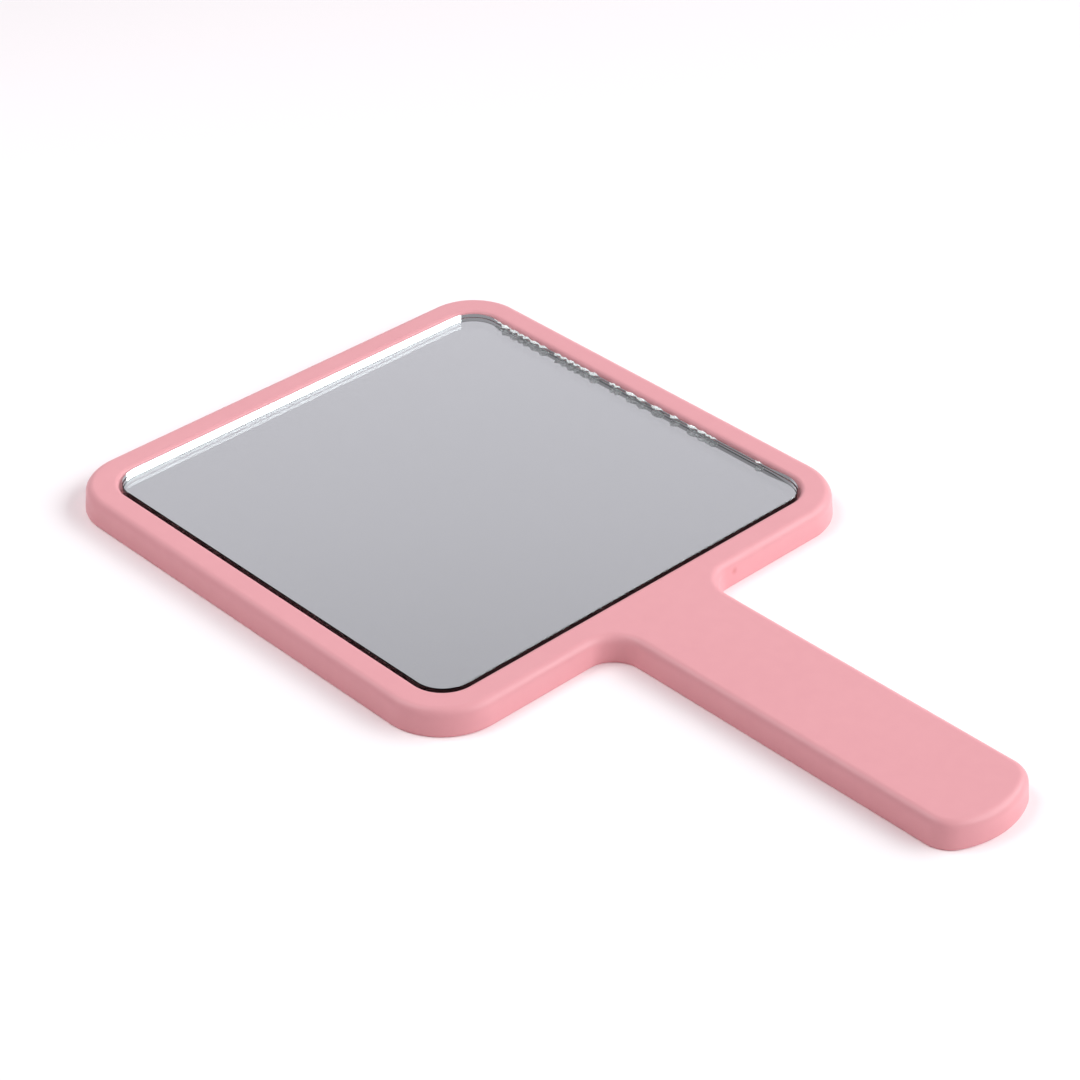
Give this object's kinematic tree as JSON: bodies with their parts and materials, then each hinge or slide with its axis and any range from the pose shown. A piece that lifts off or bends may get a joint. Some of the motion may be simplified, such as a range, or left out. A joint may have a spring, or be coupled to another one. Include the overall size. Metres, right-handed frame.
{
  "type": "hand mirror",
  "caption": "Square hand mirror on a flat paddle handle: a moulded plastic frame with rounded edges, a recessed glass mirror and an inset back cover.",
  "frame": {"origin": "middle of the outline, on the back face that the mirror lies on", "axes": "+Y from the handle towards the far edge of the head, +Z out of the mirror's face, +X to the right of a person who looks at the face with the handle down"},
  "size_m": [0.15, 0.2602, 0.0074],
  "materials": {
    "moulding": "satin pink moulded plastic",
    "glass": "clear float glass with ground edges",
    "silver": "silvered, seen through the glass",
    "paint": "grey protective paint",
    "foam_tape": "white closed-cell foam",
    "glue": "cured clear cement"
  },
  "bodies": {
    "root": {"front_body": "moulding", "back_cover": "moulding", "cover_glue_line": "glue", "mirror_glass": "glass", "silver_coating": "silver", "backing_paint": "paint", "tape_strip_top": "foam_tape", "tape_strip_bottom": "foam_tape", "tape_strip_left": "foam_tape", "tape_strip_right": "foam_tape"}
  },
  "joints": []
}
